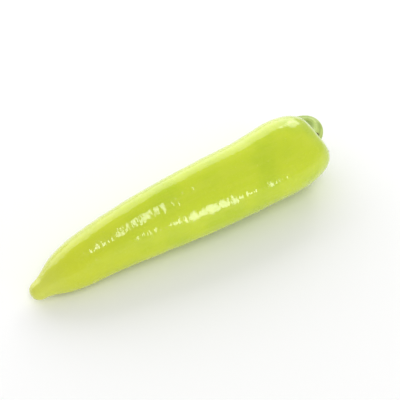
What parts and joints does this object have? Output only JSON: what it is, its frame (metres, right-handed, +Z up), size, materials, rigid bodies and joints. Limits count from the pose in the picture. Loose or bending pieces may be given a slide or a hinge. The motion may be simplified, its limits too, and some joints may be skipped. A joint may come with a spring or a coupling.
{
  "type": "long sweet pepper",
  "caption": "Whole long pale yellow-green sweet pepper lying on its side, tapering from lobed shoulders to a small knob at the tip, with a green calyx and a hooked stem.",
  "frame": {"origin": "on the table, under the middle of the bounding box of the whole pepper as it lies", "axes": "+X from the blossom tip to the stem end, +Z up, +Y to the left of someone who looks along +X"},
  "size_m": [0.2052, 0.0548, 0.0441],
  "materials": {
    "skin": "waxy, glossy skin, pale yellow-green",
    "calyx": "satin green leaf, brown at the tooth tips",
    "stem": "satin green stalk, dry fibrous cut end"
  },
  "bodies": {
    "root": {"fruit": "skin", "calyx": "calyx", "stem": "stem"}
  },
  "joints": []
}
